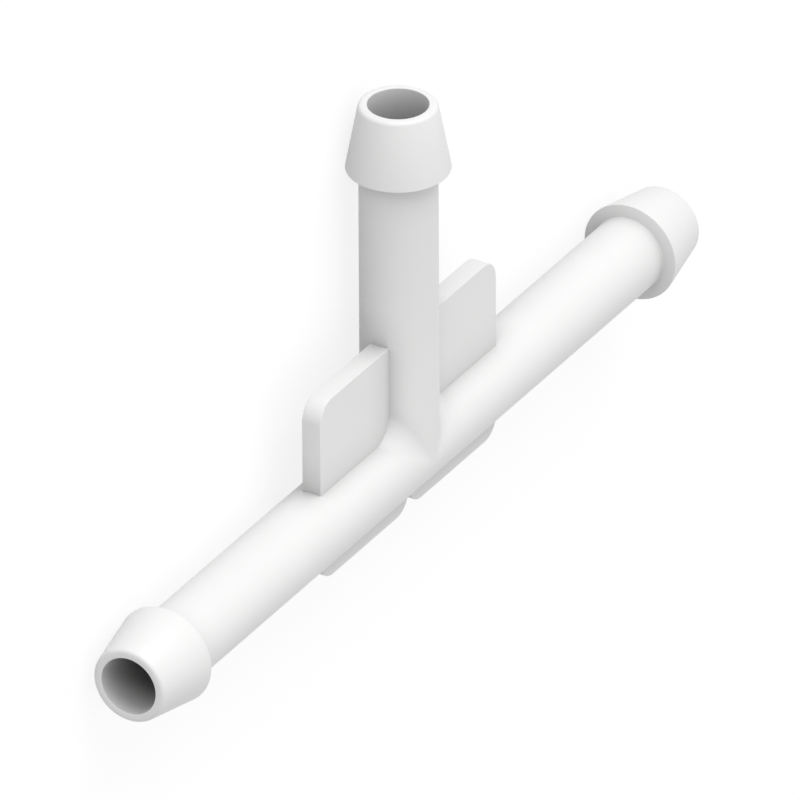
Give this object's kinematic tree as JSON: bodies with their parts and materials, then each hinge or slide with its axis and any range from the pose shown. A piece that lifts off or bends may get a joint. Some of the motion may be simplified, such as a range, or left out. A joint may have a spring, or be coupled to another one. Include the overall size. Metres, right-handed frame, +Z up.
{
  "type": "barbed tee fitting",
  "caption": "Moulded white plastic tee for flexible tubing: slim tubes with a conical barb on every arm, gussets beside the branch and rounded fins below the run.",
  "frame": {"origin": "the point where the axis of the run's bore crosses the axis of the branch's bore", "axes": "+X along the run, +Y along the branch towards its tip, +Z up, square to the flat webs; the tee lies on the edges of its barbs"},
  "size_m": [0.06, 0.026, 0.006],
  "materials": {
    "white_plastic": "satin white polypropylene, as moulded"
  },
  "bodies": {
    "root": {"tee_fitting": "white_plastic"}
  },
  "joints": []
}
